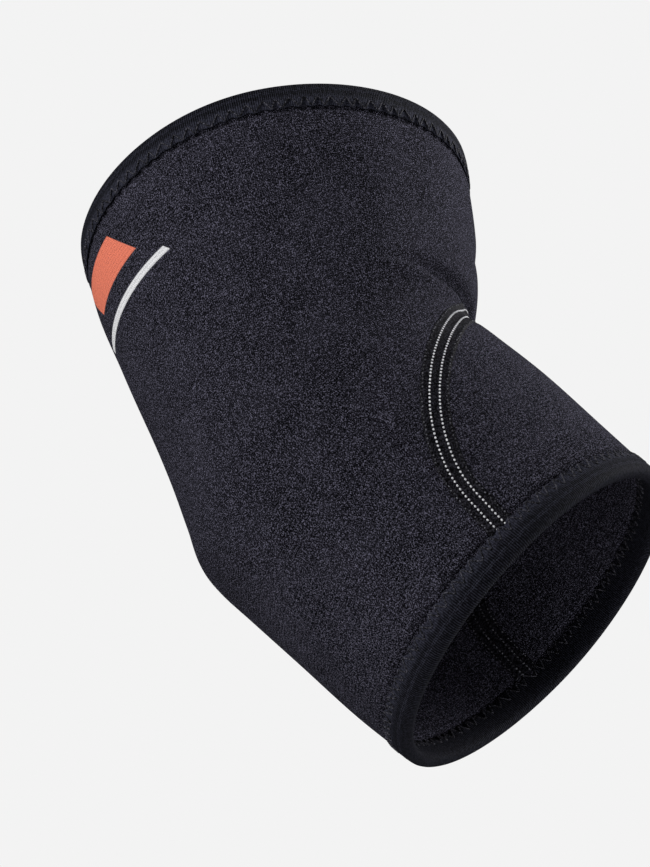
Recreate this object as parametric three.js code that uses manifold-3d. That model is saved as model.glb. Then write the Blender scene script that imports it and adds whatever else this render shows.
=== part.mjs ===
// A pull-on elbow brace: a bent sleeve of neoprene, a tongue-shaped panel let into the front
// of its forearm, and a folded tape round each rim. Millimetres; the origin is the middle of
// the elbow, +Z runs up the upper arm, +X is the inner side of the elbow, and the sleeve is
// the same on both sides of the plane Y = 0.

import * as THREE from 'three';
import { mergeVertices } from 'three/addons/utils/BufferGeometryUtils.js';
import Module from 'manifold-3d';

const wasm = await Module();
wasm.setup();

// Driving sizes, in millimetres and degrees
const BEND = 35;              // how far the forearm is bent from straight
const UPPER_LENGTH = 93.3;    // on the axis, from the elbow to the upper rim
const FORE_LENGTH = 81.7;     // on the axis, from the elbow to the forearm rim
const UPPER_RIM = { front: 57.5, back: 66, side: 55 };    // from the axis to the outer face
const FORE_RIM = { front: 51, back: 56, side: 47.5 };
const WALL = 3;               // neoprene between its two knitted faces
const PRESSED_WALL = 2;       // the same wall where a rim tape squeezes it
const PRESS_RAMP = 1.5;       // the stretch in which it swells back to its full thickness
const TAPE_WIDTH = 7;         // how far a rim tape reaches over either face
const TAPE_THICKNESS = 0.8;
const CLEARANCE = 0.3;        // between two pieces that meet

// How fine the faceted solids are
const SIDES = 48;
const STEPS_PER_SECTION = 3;
const SEAM_STEPS = 3;
const FOLD_OVER_STEPS = 4;
const SLOPE_STEP = 0.002;     // the step over which a slope is measured

// The sections of the sleeve, from the upper rim to the forearm rim. along is the section's
// place on the axis, a share of UPPER_LENGTH above the elbow and of FORE_LENGTH below it.
// lean is a share of BEND. front, back and side are shares of the two rims' sizes, mixed by
// along. droop is how far its back hangs below its plane, a share of UPPER_LENGTH.
const SECTIONS = [
  { along: 1.00, lean: -0.06, front: 0.985, back: 0.985, side: 0.985, droop: 0.115 },
  { along: 0.80, lean: 0.06, front: 0.98, back: 0.98, side: 1.01, droop: 0.08 },
  { along: 0.60, lean: 0.25, front: 0.98, back: 0.94, side: 1.01, droop: 0.035 },
  { along: 0.42, lean: 0.53, front: 0.99, back: 0.91, side: 1.00, droop: 0.01 },
  { along: 0.27, lean: 0.72, front: 1.03, back: 0.90, side: 1.00, droop: 0 },
  { along: 0.14, lean: 0.88, front: 1.06, back: 0.91, side: 0.99, droop: 0 },
  { along: 0.05, lean: 0.97, front: 1.04, back: 0.92, side: 0.99, droop: 0 },
  { along: -0.04, lean: 1.00, front: 1.02, back: 0.91, side: 0.99, droop: 0 },
  { along: -0.20, lean: 1.00, front: 1.03, back: 0.93, side: 0.99, droop: 0 },
  { along: -0.45, lean: 1.00, front: 1.04, back: 0.96, side: 1.00, droop: 0 },
  { along: -0.75, lean: 1.00, front: 1.02, back: 1.00, side: 0.99, droop: 0 },
  { along: -1.00, lean: 1.00, front: 1.00, back: 1.01, side: 1.00, droop: 0 },
];

// The folds across the inner side of the elbow. height is a share of UPPER_LENGTH, rise how
// much higher the fold lies at the very front, depth and width are shares of WALL, with a
// swell where the depth is negative, and reach is how far round it runs, in degrees.
const FOLDS = [
  { height: 0.360, rise: 0.025, depth: 1.00, width: 1.00, reach: 64 },
  { height: 0.470, rise: 0.060, depth: -0.20, width: 3.20, reach: 85 },
];

// The seam round the tongue, on one side of the front. place is a share of the way from the
// upper rim to the forearm rim, counted in sections, and round is in degrees from the front.
const SEAM = [
  { place: 0.598, round: 0 },
  { place: 0.603, round: 5 },
  { place: 0.616, round: 10.5 },
  { place: 0.639, round: 16.5 },
  { place: 0.663, round: 25.5 },
  { place: 0.692, round: 37.5 },
  { place: 0.729, round: 52 },
  { place: 0.774, round: 67.5 },
  { place: 0.824, round: 80.5 },
  { place: 0.881, round: 90 },
  { place: 0.939, round: 93 },
  { place: 1.000, round: 94.5 },
];

// Colours and finishes
const FINISHES = {
  neoprene: { color: '#2b2a31', roughness: 0.92, metalness: 0 },
  tape: { color: '#201f24', roughness: 0.85, metalness: 0 },
};

const { degToRad, lerp, smoothstep } = THREE.MathUtils;

// A smooth curve through rows of numbers, straight on beyond its ends
function through(rows, place) {
  const last = rows.length - 1;
  const scaled = place * last;
  const index = Math.min(Math.max(Math.floor(scaled), 0), last - 1);
  const part = scaled - index;
  const start = rows[index];
  const end = rows[index + 1];
  return start.map((value, key) => {
    const before = index > 0 ? rows[index - 1][key] : 2 * value - end[key];
    const after = index + 1 < last ? rows[index + 2][key] : 2 * end[key] - value;
    const leave = (end[key] - before) / 2;
    const arrive = (after - value) / 2;
    if (part < 0) return value + leave * part;
    if (part > 1) return end[key] + arrive * (part - 1);
    const cubic = 2 * (value - end[key]) + leave + arrive;
    const square = 3 * (end[key] - value) - 2 * leave - arrive;
    return ((cubic * part + square) * part + leave) * part + value;
  });
}

// A section in millimetres and radians: the axis point's x and z, lean, reaches and droop
function sized({ along, lean, front, back, side, droop }) {
  const bend = degToRad(BEND);
  const up = Math.max(along, 0) * UPPER_LENGTH;
  const down = Math.max(-along, 0) * FORE_LENGTH;
  const mix = (1 + along) / 2;
  return [
    down * Math.sin(bend),
    up - down * Math.cos(bend),
    lean * bend,
    front * lerp(FORE_RIM.front, UPPER_RIM.front, mix),
    back * lerp(FORE_RIM.back, UPPER_RIM.back, mix),
    side * lerp(FORE_RIM.side, UPPER_RIM.side, mix),
    droop * UPPER_LENGTH,
  ];
}

const sections = SECTIONS.map(sized);
const halfSeam = SEAM.map(({ place, round }) => [place, degToRad(round)]);
const otherHalf = halfSeam.slice(1).map(([place, round]) => [place, -round]);
const seamRows = [...otherHalf.reverse(), ...halfSeam];

// The sleeve's outer face before its folds, at a place along it and an angle from the front
function smoothFace(place, angle) {
  const [x, z, lean, front, back, side, droop] = through(sections, place);
  const turn = Math.cos(angle);
  const reach = turn * (turn > 0 ? front : back);
  const hang = turn > 0 ? 0 : droop * turn * turn;
  return new THREE.Vector3(
    x + reach * Math.cos(lean),
    side * Math.sin(angle),
    z + reach * Math.sin(lean) - hang,
  );
}

// How far the folds press the face in at a point of it
function foldDepth(point, angle) {
  const round = Math.abs(THREE.MathUtils.euclideanModulo(angle + Math.PI, 2 * Math.PI) - Math.PI);
  let depth = 0;
  for (const fold of FOLDS) {
    const ease = 1 - smoothstep(round, degToRad(fold.reach) / 2, degToRad(fold.reach));
    const front = Math.max(Math.cos(round), 0);
    const height = (fold.height + fold.rise * front ** 8) * UPPER_LENGTH;
    const off = (point.z - height) / (fold.width * WALL);
    depth += fold.depth * WALL * ease * Math.exp(-off * off);
  }
  return depth;
}

// The outer face with its point, its outward normal and its direction towards the forearm
function face(place, angle) {
  const point = smoothFace(place, angle);
  const down = smoothFace(place + SLOPE_STEP, angle).sub(smoothFace(place - SLOPE_STEP, angle));
  const around = smoothFace(place, angle + SLOPE_STEP).sub(smoothFace(place, angle - SLOPE_STEP));
  const speed = down.length() / (2 * SLOPE_STEP);
  const normal = around.clone().cross(down).normalize().negate();
  if (normal.x * Math.cos(angle) + normal.y * Math.sin(angle) < 0) normal.negate();
  point.addScaledVector(normal, -foldDepth(point, angle));
  return { point, normal, down: down.normalize(), speed };
}

// A point at a distance in from a rim, and at a lift from the middle of the wall. The end is
// 0 for the upper rim and 1 for the forearm rim. A distance below 0 lies beyond the rim.
function nearRim(end, angle, distance, lift) {
  const rim = face(end, angle);
  const inwards = end === 0 ? 1 : -1;
  const place = end + (inwards * Math.max(distance, 0)) / rim.speed;
  const { point, normal } = distance > 0 ? face(place, angle) : rim;
  return point
    .clone()
    .addScaledVector(normal, lift - WALL / 2)
    .addScaledVector(rim.down, inwards * Math.min(distance, 0));
}

// A closed solid from rings of points, joined ring to ring. A loop of rings closes on itself,
// and any other run of rings has flat ends. The second half of a ring splits its quads the
// other way, so that two halves that mirror each other stay alike.
function ringSolid(rings, isLoop) {
  const sides = rings[0].length;
  const points = rings.flat();
  const faces = [];
  const joins = isLoop ? rings.length : rings.length - 1;
  for (let row = 0; row < joins; row += 1) {
    for (let column = 0; column < sides; column += 1) {
      const next = (column + 1) % sides;
      const here = row * sides;
      const there = ((row + 1) % rings.length) * sides;
      if (column < sides / 2) {
        faces.push(here + column, here + next, there + next);
        faces.push(here + column, there + next, there + column);
      } else {
        faces.push(here + column, here + next, there + column);
        faces.push(here + next, there + next, there + column);
      }
    }
  }
  if (!isLoop) {
    const lastRing = (rings.length - 1) * sides;
    for (let column = 1; column < sides - 1; column += 1) {
      faces.push(0, column + 1, column);
      faces.push(lastRing, lastRing + column, lastRing + column + 1);
    }
  }
  const geometry = new THREE.BufferGeometry().setFromPoints(points);
  geometry.setIndex(faces);
  return geometry;
}

// A closed mesh as a solid that can be cut, with its faces turned outwards
function toSolid(geometry) {
  const merged = mergeVertices(geometry);
  const vertProperties = new Float32Array(merged.attributes.position.array);
  const triVerts = new Uint32Array(merged.index.array);
  const solid = new wasm.Manifold(new wasm.Mesh({ numProp: 3, vertProperties, triVerts }));
  if (solid.volume() > 0) return solid;
  return new wasm.Manifold(new wasm.Mesh({ numProp: 3, vertProperties, triVerts: triVerts.reverse() }));
}

function toGeometry(solid) {
  const mesh = solid.getMesh();
  const geometry = new THREE.BufferGeometry();
  geometry.setAttribute('position', new THREE.BufferAttribute(mesh.vertProperties, 3));
  geometry.setIndex(new THREE.BufferAttribute(mesh.triVerts, 1));
  return geometry;
}

// The angles of the points of one ring
function anglesRound() {
  return Array.from({ length: SIDES }, (_, side) => (2 * Math.PI * side) / SIDES);
}

// The whole wall of the sleeve, pressed thin at both rims. Its rings run down the outer face
// and back up the inner one.
function sleeveWall() {
  const angles = anglesRound();
  const pressed = TAPE_WIDTH + CLEARANCE;
  const swollen = pressed + PRESS_RAMP;
  const rimRings = (end, side) => [
    angles.map((angle) => nearRim(end, angle, 0, (side * PRESSED_WALL) / 2)),
    angles.map((angle) => nearRim(end, angle, pressed, (side * PRESSED_WALL) / 2)),
    angles.map((angle) => nearRim(end, angle, swollen, (side * WALL) / 2)),
  ];
  const steps = (sections.length - 1) * STEPS_PER_SECTION;
  const middleRings = (side) =>
    Array.from({ length: steps - 3 }, (_, step) => {
      const place = (step + 2) / steps;
      return angles.map((angle) => {
        const { point, normal } = face(place, angle);
        return point.addScaledVector(normal, ((side - 1) * WALL) / 2);
      });
    });
  const skin = (side) => [...rimRings(0, side), ...middleRings(side), ...rimRings(1, side).reverse()];
  return toSolid(ringSolid([...skin(1), ...skin(-1).reverse()], true));
}

// A thin blade that stands through the wall along the whole seam, rim to rim
function seamBlade() {
  const steps = (halfSeam.length - 1) * SEAM_STEPS;
  const beyond = 1 / steps;
  const seamAt = (share) => {
    const [place, angle] = through(seamRows, (share + 1) / 2);
    return { place, angle };
  };
  const stations = Array.from({ length: 2 * steps + 3 }, (_, step) => (step - steps - 1) / steps);
  const rings = stations.map((share) => {
    const { place, angle } = seamAt(share);
    const { point, normal } = face(place, angle);
    const before = seamAt(share - beyond / 2);
    const after = seamAt(share + beyond / 2);
    const run = face(after.place, after.angle).point.sub(face(before.place, before.angle).point);
    const across = normal.clone().cross(run).normalize().multiplyScalar(CLEARANCE / 2);
    const top = normal.clone().multiplyScalar(WALL / 2);
    const bottom = normal.clone().multiplyScalar(-1.5 * WALL);
    return [
      point.clone().add(top).add(across),
      point.clone().add(top).sub(across),
      point.clone().add(bottom).sub(across),
      point.clone().add(bottom).add(across),
    ];
  });
  return toSolid(ringSolid(rings, false));
}

// The folded tape that wraps one rim
function rimTape(end) {
  const inner = PRESSED_WALL / 2 + CLEARANCE;
  const outer = inner + TAPE_THICKNESS;
  const foldOver = (radius) =>
    Array.from({ length: FOLD_OVER_STEPS + 1 }, (_, step) => {
      const turn = (Math.PI * step) / FOLD_OVER_STEPS;
      return [-radius * Math.sin(turn), radius * Math.cos(turn)];
    });
  const outside = [[TAPE_WIDTH, outer], ...foldOver(outer), [TAPE_WIDTH, -outer]];
  const inside = [[TAPE_WIDTH, inner], ...foldOver(inner), [TAPE_WIDTH, -inner]];
  const profile = [...outside, ...inside.reverse()];
  const rings = anglesRound().map((angle) =>
    profile.map(([distance, lift]) => nearRim(end, angle, distance, lift)),
  );
  return toSolid(ringSolid(rings, true));
}

function piece(name, solid, finish) {
  const mesh = new THREE.Mesh(toGeometry(solid), new THREE.MeshStandardMaterial(finish));
  mesh.name = name;
  return mesh;
}

const panels = sleeveWall()
  .subtract(seamBlade())
  .decompose()
  .sort((one, other) => other.volume() - one.volume());

const brace = new THREE.Group();
brace.add(piece('sleeve_body', panels[0], FINISHES.neoprene));
brace.add(piece('forearm_tongue', panels[1], FINISHES.neoprene));
brace.add(piece('upper_rim_tape', rimTape(0), FINISHES.tape));
brace.add(piece('forearm_rim_tape', rimTape(1), FINISHES.tape));

export default brace;
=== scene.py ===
"""Dresses the pull-on elbow brace: knitted neoprene panels, the flatlock seam round the
forearm's tongue, a ribbed folded tape with zigzag stitches on each rim, and a plain print."""

import math

import bmesh
import bpy
import numpy as np
from mathutils import Matrix, Vector


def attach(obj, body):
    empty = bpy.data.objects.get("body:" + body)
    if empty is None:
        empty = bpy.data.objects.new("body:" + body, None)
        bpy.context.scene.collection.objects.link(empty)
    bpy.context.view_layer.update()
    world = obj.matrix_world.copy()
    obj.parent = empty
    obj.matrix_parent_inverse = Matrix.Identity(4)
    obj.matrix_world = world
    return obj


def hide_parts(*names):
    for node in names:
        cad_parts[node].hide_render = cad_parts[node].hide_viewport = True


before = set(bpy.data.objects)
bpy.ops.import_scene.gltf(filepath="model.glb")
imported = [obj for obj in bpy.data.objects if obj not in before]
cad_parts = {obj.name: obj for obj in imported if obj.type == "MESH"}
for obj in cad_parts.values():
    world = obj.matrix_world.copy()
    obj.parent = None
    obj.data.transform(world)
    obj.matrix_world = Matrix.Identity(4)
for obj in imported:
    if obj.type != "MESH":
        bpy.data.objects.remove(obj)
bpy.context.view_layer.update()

# The sleeve's shape, in millimetres and degrees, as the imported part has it
BEND = 35
UPPER_LENGTH = 93.3
FORE_LENGTH = 81.7
UPPER_RIM = dict(front=57.5, back=66, side=55)
FORE_RIM = dict(front=51, back=56, side=47.5)
WALL = 3
PRESSED_WALL = 2
PRESS_RAMP = 1.5
TAPE_WIDTH = 7
TAPE_THICKNESS = 0.8
CLEARANCE = 0.3
SLOPE_STEP = 0.002
SLEEVE_LENGTH = UPPER_LENGTH + FORE_LENGTH
MEAN_RADIUS = (UPPER_RIM["side"] + FORE_RIM["side"]) / 2

# Each section's place on the axis, its lean as a share of BEND, how far it reaches to the
# front, the back and the sides, and how far its back droops, all shares of the sizes above
SECTIONS = [
    dict(along=1.00, lean=-0.06, front=0.985, back=0.985, side=0.985, droop=0.115),
    dict(along=0.80, lean=0.06, front=0.98, back=0.98, side=1.01, droop=0.08),
    dict(along=0.60, lean=0.25, front=0.98, back=0.94, side=1.01, droop=0.035),
    dict(along=0.42, lean=0.53, front=0.99, back=0.91, side=1.00, droop=0.01),
    dict(along=0.27, lean=0.72, front=1.03, back=0.90, side=1.00, droop=0),
    dict(along=0.14, lean=0.88, front=1.06, back=0.91, side=0.99, droop=0),
    dict(along=0.05, lean=0.97, front=1.04, back=0.92, side=0.99, droop=0),
    dict(along=-0.04, lean=1.00, front=1.02, back=0.91, side=0.99, droop=0),
    dict(along=-0.20, lean=1.00, front=1.03, back=0.93, side=0.99, droop=0),
    dict(along=-0.45, lean=1.00, front=1.04, back=0.96, side=1.00, droop=0),
    dict(along=-0.75, lean=1.00, front=1.02, back=1.00, side=0.99, droop=0),
    dict(along=-1.00, lean=1.00, front=1.00, back=1.01, side=1.00, droop=0),
]

# The folds across the inner side of the elbow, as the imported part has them
FOLDS = [
    dict(height=0.360, rise=0.025, depth=1.00, width=1.00, reach=64),
    dict(height=0.470, rise=0.060, depth=-0.20, width=3.20, reach=85),
]

# Finer relief of the outer face, in millimetres. The lips close over the first fold and the
# last one fills its floor: how far above its middle each lies, its height, and how far it
# fades out downwards and upwards.
# The swells and hollows of the worn cloth are the same on both sides: place and round are the
# middle of each, along and across its half-widths, and height how far it stands out.
LIPS = [
    dict(above=-2.2, height=1.7, down=3.2, up=0.8),
    dict(above=3.5, height=0.5, down=2.5, up=2.5),
    dict(above=0.8, height=0.8, down=2.2, up=2.2),
]
SWELLS = [
    dict(place=0.380, round=42, along=9, across=10, height=-0.5),
    dict(place=0.470, round=66, along=10, across=11, height=0.5),
    dict(place=0.610, round=98, along=14, across=12, height=0.7),
    dict(place=0.670, round=138, along=13, across=14, height=0.6),
    dict(place=0.300, round=151, along=16, across=14, height=-0.6),
    dict(place=0.860, round=60, along=16, across=9, height=-0.5),
]

# The seam round the tongue: its place along the sleeve, and how far round from the front
SEAM = [
    dict(place=0.598, round=0),
    dict(place=0.603, round=5),
    dict(place=0.616, round=10.5),
    dict(place=0.639, round=16.5),
    dict(place=0.663, round=25.5),
    dict(place=0.692, round=37.5),
    dict(place=0.729, round=52),
    dict(place=0.774, round=67.5),
    dict(place=0.824, round=80.5),
    dict(place=0.881, round=90),
    dict(place=0.939, round=93),
    dict(place=1.000, round=94.5),
]

# Sewing, in millimetres
SEAM_WIDTH = 8.4              # the flatlock seam's cover threads, edge to edge
SEAM_DIP = 0.70               # how far the seam pulls the cloth in
SEAM_REACH = SEAM_WIDTH * 0.55    # and how far out from its middle
SEAM_HEIGHT = 0.26            # how far the cover threads stand on it
COVER_REST = 0.75             # the share of that height left once they are pulled tight
COVER_EDGE = 0.04             # how thick the cover is at its edges
COVER_THREADS = 0.09          # how far each cross thread stands out
COVER_SLANT = 0.4             # and its slant, in pitches
COVER_CHANNEL = 0.16          # how deep the channel along the middle is
COVER_CHANNEL_WIDTH = 0.16    # and its half-width, as a share of half the seam
SEAM_STOPS = 0.15             # how far short of the forearm's tape it ends
STITCH_PITCH = 1.35
ROWS = [
    dict(offset=-3.65, length=0.62, width=0.50, height=0.40, ragged=0.22, thread="black_thread"),
    dict(offset=-1.45, length=0.84, width=0.66, height=0.56, ragged=0.03, thread="white_thread"),
    dict(offset=1.45, length=0.84, width=0.66, height=0.56, ragged=0.03, thread="white_thread"),
    dict(offset=3.65, length=0.62, width=0.50, height=0.40, ragged=0.22, thread="black_thread"),
]
ZIGZAG_THREAD = 0.44          # the zigzag thread's diameter
ZIGZAG_FROM = 3.6             # from the rim to the zigzag's outer corners
ZIGZAG_TO = 7.5               # from the rim to its inner corners, just past the tape
ZIGZAG_CORNER = 0.96          # how sharp its corners are, 1 at the most
ZIGZAG_REST = 0.35            # how high the thread's middle lies, in its own diameters
ZIGZAG_DIVE = 0.6             # and how far it dives at the corners
# How thick the tape stands from the rim to its inner edge, as shares of its thickness
TAPE_CROWN = np.array([[1.00], [1.14], [1.02], [0.88], [0.45]])
SCALLOP = 0.42                # how far the tape's inner edge swings with the zigzag
PINCH = 0.10                  # how deep the zigzag pulls the tape in
PUCKER = 0.18                 # and how much it swells and sinks between the stitches
STRAYS = [
    dict(times=29, by=0.45, start=0.0),
    dict(times=47, by=0.35, start=1.3),
]
GROOVE_FROM = 7.9             # from the rim to the groove that the zigzag pulls in the cloth
GROOVE_DEPTH = 0.38
GROOVE_WIDTH = 0.75
RIMS = [
    dict(end=0, name="upper", pitch=4.2),
    dict(end=1, name="forearm", pitch=3.5),
]

# Patterns of the finishes, in millimetres
KNIT_WALE = 0.62              # the knit's columns of loops
KNIT_COURSE = 0.90            # and its rows
FIBRE_GRAIN = 0.37            # the fibre specks, drawn a little coarse so that they show
KNIT_LEAN = 1.1               # how steeply the loops' legs lean, a rise for each step across
YARN_DRIFT = 1.3              # the patches over which the loops wander
YARN_SWAY = 0.35              # and how far
CLOUD_SIZE = 16               # the worn cloth's soft patches
TAPE_RIB = 0.62               # the tape's ribs, along the rim
TAPE_GRAIN = 0.6              # its uneven fibres
TAPE_SWAY = 0.25              # how far the fibres make the ribs wander
TAPE_RIDGES = [6.0, 6.6]      # raised threads that run along the rim, across the tape's map
RIDGE_HALF = 0.14             # half their width
RIDGE_EDGE = 0.08             # how soft their edges are
PAINTED_PUCKER_HIGHLIGHT = [2.8, 4.6]      # where the painted highlight on the puckers between the zigzags fades out, across the tape
THREAD_PLY = 0.45             # the threads' plies, drawn a little coarse so that they show
PAPER_GRAIN = 3

# Screen-printed bars on the outer face near the upper rim: the middle, round the sleeve and
# along it in millimetres on the cloth map, the size round and along, and the slant
PRINT = [
    dict(around=181.0, along=-17.0, width=27, height=10.5, slant=-0.9, ink="#fc8a6e"),
    dict(around=186.5, along=-28.4, width=44, height=1.9, slant=-0.9, ink="#fafafc"),
]
INK_EDGE = 0.12               # how far the ink's edges fade

# How fine the meshes are, and how near two points of one mesh are merged, in metres
MERGE_GAP = 0.00002
BODY_COLUMNS = 224
BODY_ROWS = 146
NEAR_RIM_ROWS = 14            # extra rows where the cloth dips under each tape
FOLD_ROWS = 40                # and where it folds in the crease
FOLD_PLACES = (0.42, 0.60)
ROW_CROWDING = 1.3            # how much closer the rows below the crease lie near it
TONGUE_COLUMNS = 100
TONGUE_ROWS = 84
SEAM_STATIONS = 900
SEAM_COLUMNS = 14
TAPE_STATIONS = 840
ZIGZAG_STATIONS = 1080
LEG_STEPS = 12
FOLD_OVER_STEPS = 10

# The camera, fitted to the photograph
PHOTO_WIDTH = 650
PHOTO_HEIGHT = 867
CAMERA_AZIMUTH = 1.15
CAMERA_ELEVATION = -31.0
CAMERA_ROLL = -11.92
CAMERA_DISTANCE = 0.9         # metres from the elbow's middle
FOCAL_LENGTH = 3046           # in the photograph's pixels
OPTICAL_CENTRE = (338.7, 448.9)
SENSOR = 36
FLOOR_HEIGHT = -0.62          # metres, below the camera, which looks up
FLOOR_REACH = 6               # metres, each way from the middle

# The light: the room seen behind the sleeve, the even glow it gives, and softboxes placed
# in metres along the camera's own right, up and back
BACKDROP = "#f3f3f3"
ROOM_GLOW = 0.054
SOFTBOXES = [
    dict(name="left_softbox", right=-1.05, up=0.85, back=0.2, size=(0.8, 0.8), power=14.4),
    dict(name="front_softbox", right=-0.7, up=0.3, back=0.9, size=(0.8, 0.8), power=1.8),
    dict(name="right_softbox", right=0.95, up=0.45, back=-0.4, size=(0.8, 0.8), power=15.5),
]

MM = 0.001
MATH = "ShaderNodeMath"
NOISE = "ShaderNodeTexNoise"
RANGE = "ShaderNodeMapRange"
MIX = "ShaderNodeMix"


# Shape of the cloth

def through(rows, place):
    """A smooth curve through rows of numbers at places from 0 to 1, straight on beyond them."""
    last = len(rows) - 1
    ends = np.vstack([2 * rows[:1] - rows[1:2], rows, 2 * rows[-1:] - rows[-2:-1]])
    scaled = np.asarray(place, float) * last
    index = np.clip(np.floor(scaled).astype(int), 0, last - 1)
    part = (scaled - index)[..., None]
    before, start, end, after = (ends[index + step] for step in range(4))
    leave = (end - before) / 2
    arrive = (after - start) / 2
    cubic = 2 * (start - end) + leave + arrive
    square = 3 * (end - start) - 2 * leave - arrive
    inside = ((cubic * part + square) * part + leave) * part + start
    ahead = start + leave * part
    beyond = end + arrive * (part - 1)
    return np.where(part < 0, ahead, np.where(part > 1, beyond, inside))


def sized_sections():
    """The sections in millimetres and radians."""
    bend = math.radians(BEND)
    rows = []
    for s in SECTIONS:
        up = max(s["along"], 0) * UPPER_LENGTH
        down = max(-s["along"], 0) * FORE_LENGTH
        mix = (1 + s["along"]) / 2
        reaches = [s[k] * (FORE_RIM[k] * (1 - mix) + UPPER_RIM[k] * mix) for k in UPPER_RIM]
        axis = [down * math.sin(bend), up - down * math.cos(bend)]
        rows.append([*axis, s["lean"] * bend, *reaches, s["droop"] * UPPER_LENGTH])
    return np.array(rows)


sections = sized_sections()
half_seam = np.array([[s["place"], math.radians(s["round"])] for s in SEAM])
whole_seam = np.vstack([half_seam[:0:-1] * [1, -1], half_seam])


def smooth_face(place, angle):
    """The sleeve's outer face before its folds."""
    place, angle = np.broadcast_arrays(place, angle)
    x, z, lean, front, back, side, droop = np.moveaxis(through(sections, place), -1, 0)
    turn = np.cos(angle)
    reach = turn * np.where(turn > 0, front, back)
    hang = np.where(turn > 0, 0, droop * turn * turn)
    height = z + reach * np.sin(lean) - hang
    return np.stack([x + reach * np.cos(lean), side * np.sin(angle), height], -1)


def unit(vectors):
    return vectors / np.maximum(np.linalg.norm(vectors, axis=-1, keepdims=True), 1e-12)


def ease(value, low, high):
    """0 up to low, 1 from high on, and smooth between them."""
    share = np.clip((value - low) / (high - low), 0, 1)
    return share * share * (3 - 2 * share)


def from_front(angle):
    """How far round from the front an angle lies, the same on both sides."""
    return np.abs((angle + math.pi) % (2 * math.pi) - math.pi)


def above_fold(point, around, fold):
    """How far above a fold's middle each point lies."""
    rise = fold["rise"] * np.maximum(np.cos(around), 0) ** 8
    return point[..., 2] - (fold["height"] + rise) * UPPER_LENGTH


def fold_depth(point, angle):
    """How far the folds press the face in."""
    around = from_front(angle)
    depth = np.zeros(point.shape[:-1])
    for fold in FOLDS:
        reach = math.radians(fold["reach"])
        off = above_fold(point, around, fold) / (fold["width"] * WALL)
        depth += fold["depth"] * WALL * (1 - ease(around, reach / 2, reach)) * np.exp(-off * off)
    return depth


def seam_at(share):
    """The seam's place and angle, from one end at -1 over the crease at 0 to the other at 1."""
    both = through(whole_seam, (np.asarray(share) + 1) / 2)
    return both[..., 0], both[..., 1]


seam_line = smooth_face(*seam_at(np.linspace(-1, 1, 701)))


def seam_distance(point):
    """How far each point lies from the seam's middle."""
    flat = point.reshape(-1, 3)
    near = [np.sqrt(((block[:, None] - seam_line[None]) ** 2).sum(-1).min(1))
            for block in np.array_split(flat, max(len(flat) // 1500, 1))]
    return np.concatenate(near).reshape(point.shape[:-1])


def relief(point, place, angle):
    """How far the lips and the swells stand out of the outer face."""
    around = from_front(angle)
    reach = math.radians(FOLDS[0]["reach"])
    fade = 1 - ease(around, reach * 0.7, reach * 1.15)
    rise = np.zeros(point.shape[:-1])
    for lip in LIPS:
        off = above_fold(point, around, FOLDS[0]) - lip["above"]
        off = off / np.where(off > 0, lip["up"], lip["down"])
        rise = rise + lip["height"] * fade * np.exp(-off * off)
    for swell in SWELLS:
        along = (place - swell["place"]) * SLEEVE_LENGTH / swell["along"]
        across = (around - math.radians(swell["round"])) * MEAN_RADIUS / swell["across"]
        rise = rise + swell["height"] * np.exp(-along * along - across * across)
    return rise


def round_the_sleeve(place, angle):
    """The smooth face's slope on the way round, in millimetres a radian."""
    rise = smooth_face(place, angle + SLOPE_STEP) - smooth_face(place, angle - SLOPE_STEP)
    return rise / (2 * SLOPE_STEP)


def face(place, angle, with_seam=True, is_outside=True):
    """Points of the outer face, outward normals, directions towards the forearm, and speeds.
    Without the outside's finer relief it is the face that the inner one runs parallel to."""
    place, angle = np.broadcast_arrays(np.asarray(place, float), np.asarray(angle, float))
    point = smooth_face(place, angle)
    down = smooth_face(place + SLOPE_STEP, angle) - smooth_face(place - SLOPE_STEP, angle)
    speed = np.linalg.norm(down, axis=-1) / (2 * SLOPE_STEP)
    normal = unit(np.cross(down, round_the_sleeve(place, angle)))
    depth = fold_depth(point, angle)
    if with_seam:
        depth = depth + SEAM_DIP * np.exp(-(seam_distance(point) / SEAM_REACH) ** 4)
    if is_outside:
        depth = depth - relief(point, place, angle)
    return point - normal * depth[..., None], normal, unit(down), speed


def near_rim(end, angle, distance, lift):
    """A point in from a rim by a distance, lifted from the middle of the wall."""
    angle, distance, lift = np.broadcast_arrays(angle, distance, lift)
    _, _, rim_down, speed = face(np.full(angle.shape, float(end)), angle, False)
    inwards = 1 if end == 0 else -1
    place = end + inwards * np.maximum(distance, 0) / speed
    point, normal, _, _ = face(place, angle, False)
    over = (inwards * np.minimum(distance, 0))[..., None]
    return point + normal * (lift - WALL / 2)[..., None] + rim_down * over


def press(place, angle):
    """How far a rim tape squeezes each face of the wall in."""
    upper_speed = face(np.zeros_like(angle), angle, False)[3]
    fore_speed = face(np.ones_like(angle), angle, False)[3]
    distance = np.minimum(place * upper_speed, (1 - place) * fore_speed)
    squeezed = 1 - ease(distance, TAPE_WIDTH + CLEARANCE, TAPE_WIDTH + CLEARANCE + PRESS_RAMP)
    groove = GROOVE_DEPTH * np.exp(-((distance - GROOVE_FROM) / GROOVE_WIDTH) ** 2)
    return squeezed * (WALL - PRESSED_WALL) / 2 + groove


# Meshes

def new_piece(name, points, faces, uv):
    """A smooth mesh object from millimetre points, with its own uv map in metres."""
    mesh = bpy.data.meshes.new(name)
    mesh.from_pydata((points * MM).tolist(), [], faces.tolist())
    layer = mesh.uv_layers.new(name="cloth")
    corners = np.empty(len(mesh.loops), np.int32)
    mesh.loops.foreach_get("vertex_index", corners)
    layer.data.foreach_set("uv", (uv[corners] * MM).astype(np.float32).ravel())
    piece = bpy.data.objects.new(name, mesh)
    bpy.context.scene.collection.objects.link(piece)
    mesh.polygons.foreach_set("use_smooth", [True] * len(mesh.polygons))
    return piece


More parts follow.
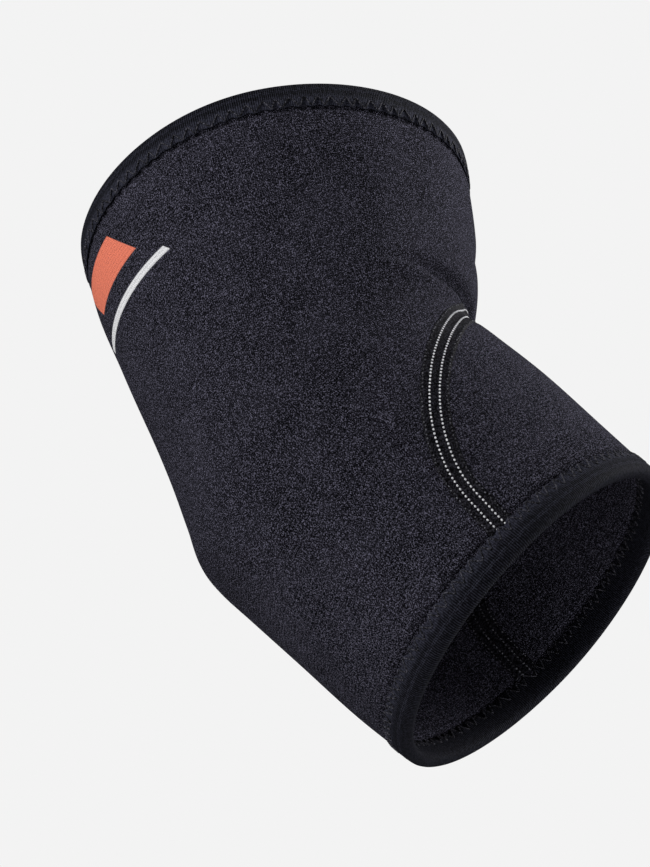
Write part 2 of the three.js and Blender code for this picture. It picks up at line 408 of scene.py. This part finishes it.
def tidy(piece):
    """Merges points that coincide and turns every face outwards."""
    work = bmesh.new()
    work.from_mesh(piece.data)
    bmesh.ops.remove_doubles(work, verts=work.verts, dist=MERGE_GAP)
    bmesh.ops.dissolve_degenerate(work, edges=work.edges, dist=MERGE_GAP / 2)
    bmesh.ops.recalc_face_normals(work, faces=work.faces)
    work.to_mesh(piece.data)
    work.free()
    return piece


def cloth_uv(place, angle):
    """Millimetres round the sleeve and along it, for the knit."""
    return np.stack([angle * MEAN_RADIUS, -place * SLEEVE_LENGTH], -1).reshape(-1, 2)


def quads(index, flip=False):
    """The four-sided faces of a grid of point numbers."""
    corners = [index[:-1, :-1], index[:-1, 1:], index[1:, 1:], index[1:, :-1]]
    made = np.stack(corners[::-1] if flip else corners, -1)
    return made.reshape(-1, 4)


def cloth_panel(name, place, angle):
    """A closed panel of the wall from a grid of places and angles."""
    point, normal, _, _ = face(place, angle)
    pressed = press(place, angle)
    outer = point - normal * pressed[..., None]
    inner = face(place, angle, is_outside=False)[0] - normal * (WALL - pressed)[..., None]
    count = place.size
    outer_index = np.arange(count).reshape(place.shape)
    inner_index = outer_index + count
    walls = [
        np.stack([outer_index[0], inner_index[0]]),
        np.stack([inner_index[-1], outer_index[-1]]),
        np.stack([inner_index[:, 0], outer_index[:, 0]]),
        np.stack([outer_index[:, -1], inner_index[:, -1]]),
    ]
    faces = [quads(outer_index), quads(inner_index, True), *[quads(w) for w in walls]]
    uv = cloth_uv(place, angle)
    points = np.concatenate([outer.reshape(-1, 3), inner.reshape(-1, 3)])
    return new_piece(name, points, np.concatenate(faces), np.concatenate([uv, uv]))


def seam_angle(place):
    """How far round from the front the seam lies at each place."""
    places, angles = seam_at(np.linspace(0, 1, 2001))
    return np.interp(place, places, angles)


def near_rim_places():
    """Places of extra rows where the cloth dips under the upper tape. 1 less each of them does
    the same for the forearm's."""
    return np.linspace(TAPE_WIDTH - 1, TAPE_WIDTH + 4, NEAR_RIM_ROWS) / SLEEVE_LENGTH


def sleeve_body():
    """The main panel: whole round down to the crease, and open at the front below it."""
    apex = SEAM[0]["place"]
    above = np.linspace(0, apex, BODY_ROWS // 2, endpoint=False)
    below = apex + (1 - apex) * np.linspace(0, 1, BODY_ROWS // 2) ** ROW_CROWDING
    fold = np.linspace(*FOLD_PLACES, FOLD_ROWS, endpoint=False)
    above = above[above < FOLD_PLACES[0]]
    place = np.unique(np.concatenate([above, fold, below, near_rim_places(), 1 - near_rim_places()]))
    half_gap = CLEARANCE / 2 / UPPER_RIM["side"]
    start = np.where(place > apex, seam_angle(place) + half_gap, 0)
    share = np.linspace(0, 1, BODY_COLUMNS + 1)
    angle = start[:, None] + share[None] * (2 * math.pi - 2 * start[:, None])
    return tidy(cloth_panel("sleeve_body_cloth", *np.broadcast_arrays(place[:, None], angle)))


def forearm_tongue():
    """The panel let into the forearm's front, from its tip in the crease to the rim."""
    apex = SEAM[0]["place"]
    rows = apex + (1 - apex) * np.linspace(0, 1, TONGUE_ROWS) ** ROW_CROWDING
    place = np.unique(np.concatenate([rows, 1 - near_rim_places()]))
    half_gap = CLEARANCE / 2 / UPPER_RIM["side"]
    reach = np.maximum(seam_angle(place) - half_gap, 0)
    angle = np.linspace(-1, 1, TONGUE_COLUMNS + 1)[None] * reach[:, None]
    return tidy(cloth_panel("forearm_tongue_cloth", *np.broadcast_arrays(place[:, None], angle)))


def near_seam(share, offset, lift, is_outside=True):
    """Points and normals beside the seam, at offsets across it, on either face of the wall."""
    share, offset, lift = np.broadcast_arrays(share, offset, lift)
    place, angle = seam_at(share)
    after = smooth_face(*seam_at(share + SLOPE_STEP))
    before = smooth_face(*seam_at(share - SLOPE_STEP))
    _, normal, down, speed = face(place, angle, False)
    across = unit(np.cross(normal, after - before)) * offset[..., None]
    around = round_the_sleeve(place, angle)
    down = down * speed[..., None]
    dd, aa, da = (down * down).sum(-1), (around * around).sum(-1), (down * around).sum(-1)
    dx, ax = (down * across).sum(-1), (around * across).sum(-1)
    det = dd * aa - da * da
    place = place + (dx * aa - ax * da) / det
    angle = angle + (ax * dd - dx * da) / det
    point, normal, _, _ = face(place, angle, is_outside=is_outside)
    if is_outside:
        return point + normal * lift[..., None], normal
    return point - normal * (WALL + lift)[..., None], -normal


def seam_end():
    """The share of the seam at which it ends, against the forearm's tape."""
    shares = np.linspace(0.8, 1, 201)
    place, angle = seam_at(shares)
    speed = face(np.ones_like(angle), angle, False)[3]
    return float(np.interp(-(TAPE_WIDTH + SEAM_STOPS), -((1 - place) * speed), shares))


def seam_cover(name, is_outside):
    """The flat band of cover threads over the seam, with each cross thread raised a little."""
    last = seam_end()
    share = np.linspace(-last, last, SEAM_STATIONS)[:, None]
    across = np.linspace(-1, 1, SEAM_COLUMNS)[None]
    path = np.linalg.norm(np.diff(smooth_face(*seam_at(share[:, 0])), axis=0), axis=-1)
    along = np.concatenate([[0], np.cumsum(path)])[:, None]
    threads = COVER_THREADS * np.sin(2 * math.pi * (along / STITCH_PITCH * 2 + COVER_SLANT * across))
    channel = COVER_CHANNEL * np.exp(-(across / COVER_CHANNEL_WIDTH) ** 2)
    rounded = SEAM_HEIGHT * (1 - across ** 6) - channel
    top = rounded * COVER_REST + threads * (1 - across ** 4) + COVER_EDGE
    offset = across * SEAM_WIDTH / 2
    upper, _ = near_seam(share, offset, top, is_outside)
    lower, _ = near_seam(share, offset, np.zeros_like(top), is_outside)
    points = np.concatenate([upper, lower[:, ::-1], upper[:, :1]], 1)
    rows, columns = points.shape[:2]
    index = np.arange(rows * columns).reshape(rows, columns)
    caps = [np.stack([index[0, :SEAM_COLUMNS], index[0, SEAM_COLUMNS:2 * SEAM_COLUMNS][::-1]]),
            np.stack([index[-1, :SEAM_COLUMNS], index[-1, SEAM_COLUMNS:2 * SEAM_COLUMNS][::-1]])]
    over = np.arange(columns)[None] * SEAM_WIDTH / (SEAM_COLUMNS - 1)
    uv = np.stack(np.broadcast_arrays(along, over), -1).reshape(-1, 2)
    faces = np.concatenate([quads(index), *[quads(c) for c in caps]])
    return tidy(new_piece(name, points.reshape(-1, 3), faces, uv))


def ring_length(end):
    """How long a rim is."""
    ring = smooth_face(float(end), np.linspace(0, 2 * math.pi, 721))
    return float(np.linalg.norm(np.diff(ring, axis=0), axis=-1).sum())


def stitch_phase(rim, angle):
    """The phase of a rim's zigzag, a whole turn for each stitch, paced a little unevenly."""
    stray = sum(s["by"] * np.sin(s["times"] * angle + s["start"]) for s in STRAYS)
    return round(ring_length(rim["end"]) / rim["pitch"]) * angle + stray


def tape_lift(distance, wave):
    """How high the tape's outer skin stands over the middle of the wall, from the rim to the
    inner edge, where the zigzag's wave pinches it."""
    share = distance / TAPE_WIDTH
    rise = through(TAPE_CROWN, np.clip(share, 0, 1))[..., 0]
    pinch = (PINCH - PUCKER * wave) * ease(share, 0.45, 0.75)
    return PRESSED_WALL / 2 + CLEARANCE + TAPE_THICKNESS * rise - pinch


def rim_tape(rim):
    """A tape folded over a rim, scalloped and pinched where the zigzag stitches hold it."""
    inner = PRESSED_WALL / 2 + CLEARANCE
    outer = inner + TAPE_THICKNESS
    angle = np.linspace(0, 2 * math.pi, TAPE_STATIONS + 1)[:, None]
    wave = np.cos(stitch_phase(rim, angle))
    legs = np.linspace(1, 0, LEG_STEPS)[None]
    width = TAPE_WIDTH + SCALLOP * wave
    distance = legs * width
    lift = tape_lift(legs * TAPE_WIDTH, wave)
    turn = np.linspace(0, math.pi, FOLD_OVER_STEPS + 1)[None, 1:-1]
    level = np.zeros_like(wave)
    fold_out = (level - outer * np.sin(turn), level + outer * np.cos(turn))
    fold_in = (level - inner * np.sin(turn), level + inner * np.cos(turn))
    outside = [(distance, lift), fold_out, (distance[:, ::-1], -lift[:, ::-1])]
    inside = [(width, level + inner), (level, level + inner), fold_in,
              (level, level - inner), (width, level - inner)]
    loop = outside + [(d[:, ::-1], h[:, ::-1]) for d, h in reversed(inside)]
    distances = np.concatenate([d for d, _ in loop], 1)
    lifts = np.concatenate([h for _, h in loop], 1)
    distances = np.concatenate([distances, distances[:, :1]], 1)
    lifts = np.concatenate([lifts, lifts[:, :1]], 1)
    points = near_rim(rim["end"], angle, distances, lifts)
    steps = np.hypot(np.diff(distances[0]), np.diff(lifts[0]))
    across = np.concatenate([[0], np.cumsum(steps)])[None]
    along = angle / (2 * math.pi) * ring_length(rim["end"])
    uv = np.stack(np.broadcast_arrays(along, across), -1).reshape(-1, 2)
    index = np.arange(points.shape[0] * points.shape[1]).reshape(points.shape[:2])
    return tidy(new_piece(f"{rim['name']}_tape_cloth", points.reshape(-1, 3), quads(index), uv))


# Threads grown by node trees

def add(tree, kind, settings=None, links=None):
    """Adds a node, sets its properties and inputs, and links sockets into it. A node among the
    links stands for its first socket."""
    node = tree.nodes.new(kind)
    for key, value in (settings or {}).items():
        if isinstance(key, int) or key in node.inputs:
            node.inputs[key].default_value = value
        else:
            setattr(node, key, value)
    for key, source in (links or {}).items():
        socket = source if isinstance(source, bpy.types.NodeSocket) else source.outputs[0]
        tree.links.new(socket, node.inputs[key])
    return node


def new_tree(name, sizes):
    """An empty geometry tree with a geometry input, named sizes and a material."""
    tree = bpy.data.node_groups.new(name, "GeometryNodeTree")
    tree.interface.new_socket("Path", in_out="INPUT", socket_type="NodeSocketGeometry")
    for size in sizes:
        tree.interface.new_socket(size, in_out="INPUT", socket_type="NodeSocketFloat")
    tree.interface.new_socket("Thread", in_out="INPUT", socket_type="NodeSocketMaterial")
    tree.interface.new_socket("Geometry", in_out="OUTPUT", socket_type="NodeSocketGeometry")
    return tree, add(tree, "NodeGroupInput").outputs


def close_tree(tree, geometry, thread):
    """Ends a tree: its geometry is shaded smooth and gets its thread."""
    smooth = add(tree, "GeometryNodeSetShadeSmooth", links={"Geometry": geometry})
    finish = add(tree, "GeometryNodeSetMaterial", links={"Geometry": smooth, "Material": thread})
    add(tree, "NodeGroupOutput", links={"Geometry": finish})


def stitch_tree():
    """Short stitches laid at an even pitch along a path, turned to lie on the cloth."""
    tree, given = new_tree("stitch_row", ["Pitch", "Length", "Width", "Height", "Ragged"])
    curve = add(tree, "GeometryNodeMeshToCurve", links={"Mesh": given["Path"]})
    spots = add(tree, "GeometryNodeResampleCurve", {"mode": "LENGTH"},
                {"Curve": curve, "Length": given["Pitch"]})
    bead = add(tree, "GeometryNodeMeshUVSphere", {"Segments": 8, "Rings": 5, "Radius": 0.5})
    size = add(tree, "ShaderNodeCombineXYZ",
               links={"X": given["Length"], "Y": given["Width"], "Z": given["Height"]})
    stitch = add(tree, "GeometryNodeTransform", links={"Geometry": bead, "Scale": size})
    run = add(tree, "GeometryNodeInputTangent")
    lift = add(tree, "GeometryNodeInputNamedAttribute", {"data_type": "FLOAT_VECTOR", "Name": "lift"})
    along = add(tree, "FunctionNodeAlignRotationToVector", {"axis": "X"}, {"Vector": run})
    upright = add(tree, "FunctionNodeAlignRotationToVector", {"axis": "Z", "pivot_axis": "X"},
                  {"Rotation": along, "Vector": lift})
    copies = add(tree, "GeometryNodeInstanceOnPoints", links={
        "Points": spots, "Instance": stitch, "Rotation": upright})
    way = add(tree, "FunctionNodeRandomValue", {"data_type": "FLOAT_VECTOR", 0: (-1, -1, -1), "Seed": 4})
    stray = add(tree, "ShaderNodeVectorMath", {"operation": "SCALE"}, {0: way, "Scale": given["Ragged"]})
    strayed = add(tree, "GeometryNodeTranslateInstances", {"Local Space": False},
                  {"Instances": copies, "Translation": stray})
    real = add(tree, "GeometryNodeRealizeInstances", links={"Geometry": strayed})
    close_tree(tree, real, given["Thread"])
    return tree


def thread_tree():
    """A round thread that follows a path."""
    tree, given = new_tree("sewing_thread", ["Diameter"])
    curve = add(tree, "GeometryNodeMeshToCurve", links={"Mesh": given["Path"]})
    half = add(tree, MATH, {"operation": "MULTIPLY", 1: 0.5}, {0: given["Diameter"]})
    section = add(tree, "GeometryNodeCurvePrimitiveCircle", {"Resolution": 6}, {"Radius": half})
    tube = add(tree, "GeometryNodeCurveToMesh", {"Fill Caps": True},
               {"Curve": curve, "Profile Curve": section})
    real = add(tree, "GeometryNodeRealizeInstances", links={"Geometry": tube})
    close_tree(tree, real, given["Thread"])
    return tree


def grow(name, points, lifts, is_loop, tree, inputs):
    """Runs a tree along a path of millimetre points and keeps the result as a plain mesh."""
    mesh = bpy.data.meshes.new(name)
    count = len(points)
    edges = [(i, (i + 1) % count) for i in range(count if is_loop else count - 1)]
    mesh.from_pydata((points * MM).tolist(), edges, [])
    mesh.attributes.new("lift", "FLOAT_VECTOR", "POINT").data.foreach_set(
        "vector", lifts.astype(np.float32).ravel())
    piece = bpy.data.objects.new(name, mesh)
    bpy.context.scene.collection.objects.link(piece)
    modifier = piece.modifiers.new("grow", "NODES")
    modifier.node_group = tree
    sockets = {s.name: s.identifier for s in tree.interface.items_tree if s.in_out == "INPUT"}
    for label, value in inputs.items():
        modifier[sockets[label]] = value
    graph = bpy.context.evaluated_depsgraph_get()
    made = bpy.data.meshes.new_from_object(piece.evaluated_get(graph), depsgraph=graph)
    piece.modifiers.remove(modifier)
    piece.data = made
    return piece


def seam_row(row, number, tree, is_outside, thread):
    """One row of stitches along the seam."""
    last = seam_end()
    share = np.linspace(-last, last, SEAM_STATIONS)
    lift = SEAM_HEIGHT * COVER_REST
    points, normals = near_seam(share, row["offset"], lift, is_outside)
    side = "outer" if is_outside else "inner"
    sizes = {key.title(): row[key] for key in ("length", "width", "height", "ragged")}
    sizes["Pitch"] = STITCH_PITCH
    inputs = {key: value * MM for key, value in sizes.items()}
    inputs["Thread"] = thread
    return grow(f"seam_row_{side}_{number}", points, normals, False, tree, inputs)


def zigzag(rim, is_outside, tree, thread):
    """The zigzag stitch that holds one face of a tape."""
    angle = np.linspace(0, 2 * math.pi, ZIGZAG_STATIONS, endpoint=False)
    wave = np.cos(stitch_phase(rim, angle))
    swing = np.arcsin(ZIGZAG_CORNER * wave) * 2 / math.pi
    middle, reach = (ZIGZAG_FROM + ZIGZAG_TO) / 2, (ZIGZAG_TO - ZIGZAG_FROM) / 2
    distance = middle + reach * swing
    on_tape = tape_lift(distance, wave)
    on_cloth = np.full_like(distance, WALL / 2)
    # Just past the tape's edge the thread steps down to the cloth
    past_edge = ease(distance, TAPE_WIDTH - 0.2, TAPE_WIDTH + 0.3)
    top = on_tape + (on_cloth - on_tape) * past_edge
    top = top + ZIGZAG_THREAD * (ZIGZAG_REST - ZIGZAG_DIVE * np.abs(swing) ** 6)
    lift = top if is_outside else -top
    points = near_rim(rim["end"], angle, distance, lift)
    side = "outer" if is_outside else "inner"
    inputs = {"Diameter": ZIGZAG_THREAD * MM, "Thread": thread}
    return grow(f"{rim['name']}_zigzag_{side}", points, np.zeros_like(points), True, tree, inputs)


# Materials

def colour(hex_code):
    """An sRGB hex colour as the linear colour that the shaders take."""
    parts = [int(hex_code[i:i + 2], 16) / 255 for i in (1, 3, 5)]
    linear = [c / 12.92 if c <= 0.04045 else ((c + 0.055) / 1.055) ** 2.4 for c in parts]
    return (*linear, 1)


def per_mm(size):
    """The scale that gives a procedural texture features of a size in millimetres."""
    return 1 / (size * MM)


def new_material(name, **shader):
    """A material with one principled shader, and its tree and shader to add to."""
    material = bpy.data.materials.new(name)
    material.use_nodes = True
    tree = material.node_tree
    surface = tree.nodes["Principled BSDF"]
    for key, value in shader.items():
        surface.inputs[key.replace("_", " ")].default_value = value
    return material, tree, surface


def cloth_axes(tree):
    """Metres round or along the piece, and across it, on its own map."""
    cloth_map = add(tree, "ShaderNodeUVMap", {"uv_map": "cloth"})
    axes = add(tree, "ShaderNodeSeparateXYZ", links={0: cloth_map})
    return axes.outputs[0], axes.outputs[1]


def ripple(tree, length, pitch):
    """A sine wave along a length in metres, with a pitch in millimetres."""
    turns = add(tree, MATH, {"operation": "MULTIPLY", 1: 2 * math.pi * per_mm(pitch)}, {0: length})
    return add(tree, MATH, {"operation": "SINE"}, {0: turns})


def band(tree, value, low, high, soft):
    """1 where a value lies between two limits, with soft edges."""
    rise = add(tree, RANGE, {1: low - soft, 2: low + soft}, {0: value})
    fall = add(tree, RANGE, {1: high - soft, 2: high + soft, 3: 1.0, 4: 0.0}, {0: value})
    return add(tree, MATH, {"operation": "MULTIPLY"}, {0: rise, 1: fall})


def print_mask(tree, around, along, patch):
    """1 inside a slanted bar of the print."""
    half_width, half_height = patch["width"] * MM / 2, patch["height"] * MM / 2
    y = add(tree, MATH, {"operation": "SUBTRACT", 1: patch["along"] * MM}, {0: along})
    middle = add(tree, MATH, {"operation": "MULTIPLY_ADD", 1: patch["slant"], 2: patch["around"] * MM},
                 {0: y})
    x = add(tree, MATH, {"operation": "SUBTRACT"}, {0: around, 1: middle})
    sides = band(tree, x, -half_width, half_width, INK_EDGE * MM)
    ends = band(tree, y, -half_height, half_height, INK_EDGE * MM)
    return add(tree, MATH, {"operation": "MULTIPLY"}, {0: sides, 1: ends})


def dress_surface(tree, surface, base, height, strength, depth):
    """Links a colour and a bump of a depth in millimetres to a shader."""
    bump = add(tree, "ShaderNodeBump", {"Strength": strength, "Distance": depth * MM}, {"Height": height})
    tree.links.new(base, surface.inputs["Base Color"])
    tree.links.new(bump.outputs[0], surface.inputs["Normal"])


def nylon_jersey():
    """Black nylon jersey bonded to neoprene foam: matte, finely looped, with light fibre specks
    and a soft sheen where it turns away. Polyamide, so its colour is never quite black."""
    material, tree, surface = new_material(
        "nylon_jersey_on_neoprene", Roughness=0.9, Specular_IOR_Level=0.028, IOR=1.53,
        Sheen_Weight=0.011, Sheen_Roughness=0.5, Sheen_Tint=colour("#c4c5d2"))
    around, along = cloth_axes(tree)
    place = add(tree, "ShaderNodeTexCoord").outputs["Object"]
    fibre = add(tree, NOISE, {"Scale": per_mm(FIBRE_GRAIN), "Detail": 2.0, "Roughness": 0.65},
                {"Vector": place})
    yarn = add(tree, NOISE, {"Scale": per_mm(YARN_DRIFT), "Detail": 2.0}, {"Vector": place})
    cloud = add(tree, NOISE, {"Scale": per_mm(CLOUD_SIZE), "Detail": 3.0}, {"Vector": place})
    drift = add(tree, MATH, {"operation": "MULTIPLY", 1: YARN_SWAY * MM}, {0: yarn})
    column = add(tree, MATH, {"operation": "ADD"}, {0: around, 1: drift})
    wale = add(tree, MATH, {"operation": "ABSOLUTE"}, {0: ripple(tree, column, 2 * KNIT_WALE)})
    step = add(tree, MATH, {"operation": "PINGPONG", 1: KNIT_WALE * MM / 2}, {0: column})
    vee = add(tree, MATH, {"operation": "MULTIPLY_ADD", 1: KNIT_LEAN}, {0: step, 2: along})
    slope = add(tree, MATH, {"operation": "ADD"}, {0: vee, 1: drift})
    course = add(tree, MATH, {"operation": "MULTIPLY_ADD", 1: 0.5, 2: 0.6},
                 {0: ripple(tree, slope, KNIT_COURSE)})
    loops = add(tree, MATH, {"operation": "MULTIPLY"}, {0: wale, 1: course})
    speck = add(tree, RANGE, {1: 0.525, 2: 0.635}, {0: fibre})
    # The tone is mostly fibre specks, with a little of the soft patches and of the loops
    clouded = add(tree, MATH, {"operation": "MULTIPLY_ADD", 1: 0.14, 2: -0.07}, {0: cloud})
    specked = add(tree, MATH, {"operation": "MULTIPLY_ADD", 1: 0.88}, {0: speck, 2: clouded})
    tone = add(tree, MATH, {"operation": "MULTIPLY_ADD", 1: 0.12}, {0: loops, 2: specked})
    cloth = add(tree, MIX, {"data_type": "RGBA", 6: colour("#020204"), 7: colour("#747285")},
                {0: tone}).outputs[2]
    wear = add(tree, MATH, {"operation": "MULTIPLY_ADD", 1: -0.2, 2: 1.0}, {0: speck})
    for patch in PRINT:
        mask = print_mask(tree, around, along, patch)
        inked = add(tree, MATH, {"operation": "MULTIPLY"}, {0: mask, 1: wear})
        cloth = add(tree, MIX, {"data_type": "RGBA", 7: colour(patch["ink"])},
                    {0: inked, 6: cloth}).outputs[2]
    height = add(tree, MATH, {"operation": "MULTIPLY_ADD", 1: 0.5}, {0: loops, 2: fibre})
    dress_surface(tree, surface, cloth, height, 0.8, 0.5)
    return material


def ribbed_tape():
    """Woven nylon binding tape folded over the edge: fine cross ribs with a faint gloss, darker
    than the cloth, two thin raised threads beside the fold, and a painted highlight on the
    puckers by its inner edge."""
    material, tree, surface = new_material(
        "ribbed_nylon_tape", Roughness=0.75, Specular_IOR_Level=0.045, IOR=1.53,
        Sheen_Weight=0.006, Sheen_Roughness=0.5, Sheen_Tint=colour("#b9bccb"))
    along, across = cloth_axes(tree)
    place = add(tree, "ShaderNodeTexCoord").outputs["Object"]
    fibre = add(tree, NOISE, {"Scale": per_mm(TAPE_GRAIN), "Detail": 2.0, "Roughness": 0.6},
                {"Vector": place})
    wander = add(tree, MATH, {"operation": "MULTIPLY_ADD", 1: TAPE_SWAY * MM}, {0: fibre, 2: along})
    rib = add(tree, MATH, {"operation": "MULTIPLY_ADD", 1: 0.5, 2: 0.5},
              {0: ripple(tree, wander, TAPE_RIB)})
    ridges = [band(tree, across, (at - RIDGE_HALF) * MM, (at + RIDGE_HALF) * MM, RIDGE_EDGE * MM)
              for at in TAPE_RIDGES]
    ridge = add(tree, MATH, {"operation": "ADD"}, dict(enumerate(ridges)))
    # Painted highlight: the tape is paler by its inner edge, as if the puckers between the zigzags caught
    # the light
    pucker_highlight = add(tree, RANGE, {1: PAINTED_PUCKER_HIGHLIGHT[0] * MM, 2: PAINTED_PUCKER_HIGHLIGHT[1] * MM, 3: 0.55, 4: 0.0},
                   {0: across})
    ribbed = add(tree, MATH, {"operation": "MULTIPLY_ADD", 1: 0.55}, {0: rib, 2: pucker_highlight})
    ridged = add(tree, MATH, {"operation": "MULTIPLY_ADD", 1: 0.45}, {0: ridge, 2: ribbed})
    fleck = add(tree, RANGE, {1: 0.38, 2: 0.62, 3: 0.35, 4: 1.35}, {0: fibre})
    tone = add(tree, MATH, {"operation": "MULTIPLY"}, {0: ridged, 1: fleck})
    woven = add(tree, MIX, {"data_type": "RGBA", 6: colour("#020203"), 7: colour("#3c3d4a")},
                {0: tone}).outputs[2]
    height = add(tree, MATH, {"operation": "MULTIPLY_ADD", 1: 0.8}, {0: ridge, 2: rib})
    dress_surface(tree, surface, woven, height, 0.8, 0.32)
    return material


def polyester_thread(name, dark, light, gloss):
    """Spun polyester sewing thread: painted shade between its plies, with painted highlights as flecks
    where they catch light.
    """
    material, tree, surface = new_material(name, Roughness=0.7, Specular_IOR_Level=gloss, IOR=1.57)
    place = add(tree, "ShaderNodeTexCoord").outputs["Object"]
    ply = add(tree, NOISE, {"Scale": per_mm(THREAD_PLY), "Detail": 2.0}, {"Vector": place})
    # Painted shade and highlights: the plies' noise mixes the dark colour and the light one
    fleck = add(tree, RANGE, {1: 0.45, 2: 0.68}, {0: ply})
    painted_ply_shading = add(tree, MIX, {"data_type": "RGBA", 6: colour(dark), 7: colour(light)}, {0: fleck}).outputs[2]
    dress_surface(tree, surface, painted_ply_shading, ply, 0.4, 0.05)
    return material


def studio_paper():
    """Matte paper, pale and even, with a trace of grain."""
    material, tree, surface = new_material("studio_paper", Roughness=0.95, Specular_IOR_Level=0.1)
    place = add(tree, "ShaderNodeTexCoord").outputs["Object"]
    grain = add(tree, NOISE, {"Scale": per_mm(PAPER_GRAIN)}, {"Vector": place})
    pale = add(tree, MIX, {"data_type": "RGBA", 6: colour("#f1f1f1"), 7: colour("#f5f5f5")}, {0: grain})
    tree.links.new(pale.outputs[2], surface.inputs["Base Color"])
    return material


# The studio

def photo_camera():
    """The camera that the sleeve's outline was fitted with."""
    azimuth, elevation, roll = map(math.radians, (CAMERA_AZIMUTH, CAMERA_ELEVATION, CAMERA_ROLL))
    level_reach = math.cos(elevation)
    back = Vector((math.sin(azimuth) * level_reach, -math.cos(azimuth) * level_reach, math.sin(elevation)))
    level = Vector((math.cos(azimuth), math.sin(azimuth), 0))
    high = back.cross(level)
    right = level * math.cos(roll) + high * math.sin(roll)
    up = high * math.cos(roll) - level * math.sin(roll)
    data = bpy.data.cameras.new("photo_camera")
    data.sensor_width = SENSOR
    longest = max(PHOTO_WIDTH, PHOTO_HEIGHT)
    data.lens = FOCAL_LENGTH / longest * SENSOR
    data.shift_x = (PHOTO_WIDTH / 2 - OPTICAL_CENTRE[0]) / longest
    data.shift_y = (OPTICAL_CENTRE[1] - PHOTO_HEIGHT / 2) / longest
    camera = bpy.data.objects.new("photo_camera", data)
    bpy.context.scene.collection.objects.link(camera)
    turned = Matrix((right, up, back)).transposed().to_4x4()
    camera.matrix_world = Matrix.Translation(back * CAMERA_DISTANCE) @ turned
    bpy.context.scene.camera = camera
    return right, up, back


def softbox(name, place, size, power):
    """A soft white area light aimed at the elbow."""
    data = bpy.data.lights.new(name, "AREA")
    data.shape = "RECTANGLE"
    data.size, data.size_y = size
    data.energy = power
    light = bpy.data.objects.new(name, data)
    bpy.context.scene.collection.objects.link(light)
    light.location = place
    light.visible_camera = False
    light.rotation_euler = Vector(place).to_track_quat("Z", "Y").to_euler()


def studio(right, up, back):
    """A pale floor, an even pale room and softboxes to both sides."""
    mesh = bpy.data.meshes.new("floor")
    near, far = -FLOOR_REACH, FLOOR_REACH
    corners = ((near, near), (far, near), (far, far), (near, far))
    mesh.from_pydata([(x, y, FLOOR_HEIGHT) for x, y in corners], [], [(0, 1, 2, 3)])
    floor = bpy.data.objects.new("floor", mesh)
    bpy.context.scene.collection.objects.link(floor)
    floor.data.materials.append(studio_paper())
    world = bpy.data.worlds.new("pale_room")
    bpy.context.scene.world = world
    world.use_nodes = True
    tree = world.node_tree
    seen = tree.nodes["Background"]
    seen.inputs["Color"].default_value = colour(BACKDROP)
    glow = add(tree, "ShaderNodeBackground", {"Color": colour("#f4f5fa"), "Strength": ROOM_GLOW})
    is_seen = add(tree, "ShaderNodeLightPath").outputs["Is Camera Ray"]
    either = add(tree, "ShaderNodeMixShader", links={0: is_seen, 1: glow, 2: seen})
    tree.links.new(either.outputs[0], tree.nodes["World Output"].inputs["Surface"])
    for box in SOFTBOXES:
        place = right * box["right"] + up * box["up"] + back * box["back"]
        softbox(box["name"], place, box["size"], box["power"])
    bpy.context.scene.view_settings.view_transform = "Standard"


# The dressed sleeve

def dress():
    jersey = nylon_jersey()
    tape = ribbed_tape()
    # Each thread's dark colour is painted shade between its plies, and its light colour painted highlights
    # where they catch light
    threads = dict(
        white_thread=polyester_thread("white_polyester_thread", "#dedee4", "#fbfbfc", 0.3),
        black_thread=polyester_thread("black_polyester_thread", "#1f1f23", "#888892", 0.17),
    )
    cover_thread = polyester_thread("black_cover_thread", "#010102", "#37363e", 0.045)
    zigzag_thread = polyester_thread("black_zigzag_thread", "#040406", "#61606b", 0.11)
    stitches = stitch_tree()
    sewing = thread_tree()
    body = sleeve_body()
    tongue = forearm_tongue()
    for cloth, node in ((body, "sleeve_body"), (tongue, "forearm_tongue")):
        cloth.data.materials.append(jersey)
        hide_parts(node)
    trims = []
    for is_outside in (True, False):
        side = "outer" if is_outside else "inner"
        cover = seam_cover(f"seam_cover_{side}", is_outside)
        cover.data.materials.append(cover_thread)
        trims.append((cover, "black_thread"))
        for number, row in enumerate(ROWS, 1):
            slot = row["thread"] if is_outside else "black_thread"
            trims.append((seam_row(row, number, stitches, is_outside, threads[slot]), slot))
    for rim in RIMS:
        folded = rim_tape(rim)
        folded.data.materials.append(tape)
        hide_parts(f"{rim['name']}_rim_tape")
        trims.append((folded, "rim_tape"))
        for is_outside in (True, False):
            trims.append((zigzag(rim, is_outside, sewing, zigzag_thread), "black_thread"))
    for piece in (body, tongue, *[piece for piece, _ in trims]):
        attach(piece, "root")
    return body, tongue, [piece for piece, _ in trims]


right, up, back = photo_camera()
studio(right, up, back)
body, tongue, trims = dress()
